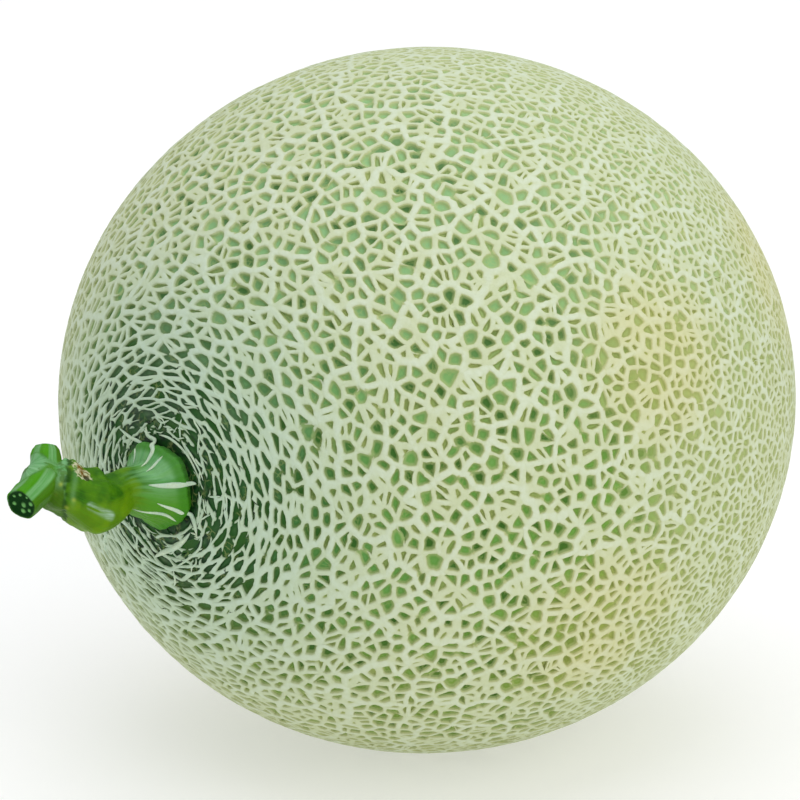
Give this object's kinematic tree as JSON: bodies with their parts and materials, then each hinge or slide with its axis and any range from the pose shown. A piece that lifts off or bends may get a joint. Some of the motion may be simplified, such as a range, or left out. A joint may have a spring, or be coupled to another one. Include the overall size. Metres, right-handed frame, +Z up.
{
  "type": "netted hami melon",
  "caption": "Nearly round netted melon lying on its side, with a raised corky net over green rind and a flared stem cut with a short piece of vine.",
  "frame": {"origin": "on the surface that the melon rests on, under the middle of its outline", "axes": "+Z up; the fruit's axis lies along X, with the stem towards -X and the blossom scar towards +X"},
  "size_m": [0.1938, 0.1558, 0.1492],
  "materials": {
    "netted_rind": "matt corky cream net raised over smooth green rind, dark green round the stem and pale towards the far end",
    "stem": "fresh green plant stem with cream corky streaks on its flared foot"
  },
  "bodies": {
    "root": {"melon": "netted_rind", "stem": "stem"}
  },
  "joints": []
}
